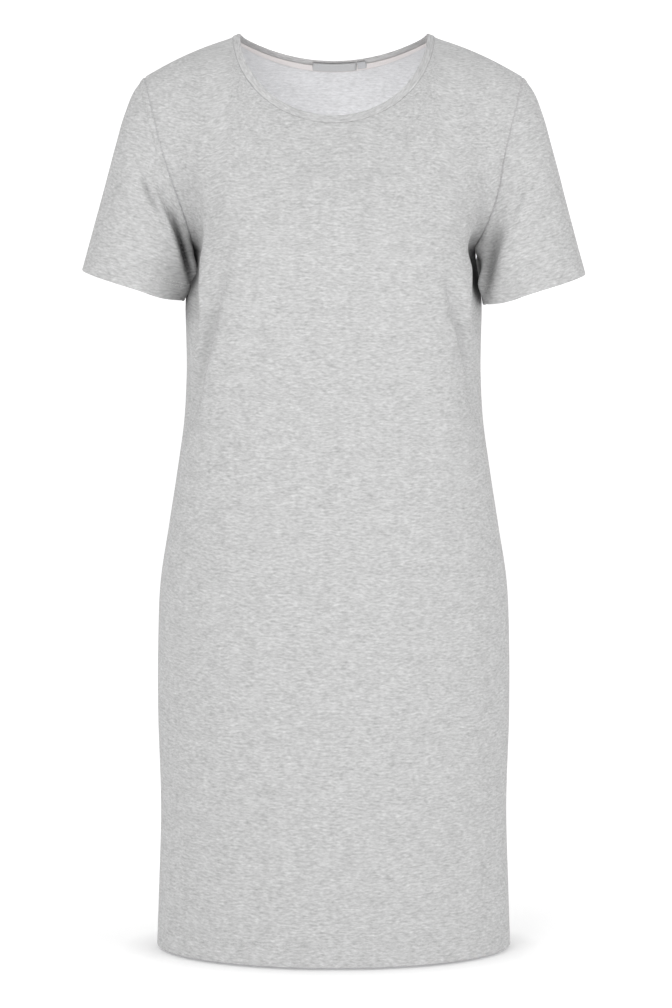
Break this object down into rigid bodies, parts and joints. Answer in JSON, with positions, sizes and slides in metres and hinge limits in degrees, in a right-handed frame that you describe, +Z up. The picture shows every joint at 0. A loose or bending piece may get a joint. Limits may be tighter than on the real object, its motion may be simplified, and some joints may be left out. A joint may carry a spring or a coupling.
{
  "type": "t-shirt dress",
  "caption": "Knee-length cotton jersey t-shirt dress with a round banded neck and short set-in sleeves, filled out as if worn, hollow inside.",
  "frame": {"origin": "midway between the two high shoulder points, at the top of the neck opening, where the wearer's shoulders hold the dress", "axes": "+Z up, along the dress from hem to neck; the front faces -Y; +X is towards the wearer's left sleeve"},
  "size_m": [0.5166, 0.253, 0.9411],
  "materials": {
    "heather_jersey": "matte cotton jersey, light grey heather",
    "band_jersey": "matte folded jersey, light grey heather",
    "beige_tape": "matte woven cotton tape, pinkish beige",
    "grey_label": "satin woven label, mid grey, blank",
    "pale_label": "satin woven label, light grey, blank"
  },
  "bodies": {
    "root": {"front_panel": "heather_jersey", "back_panel": "heather_jersey", "sleeve_right": "heather_jersey", "sleeve_left": "heather_jersey", "neckband": "band_jersey", "neck_tape": "beige_tape", "main_label": "grey_label", "size_label": "pale_label"}
  },
  "joints": []
}
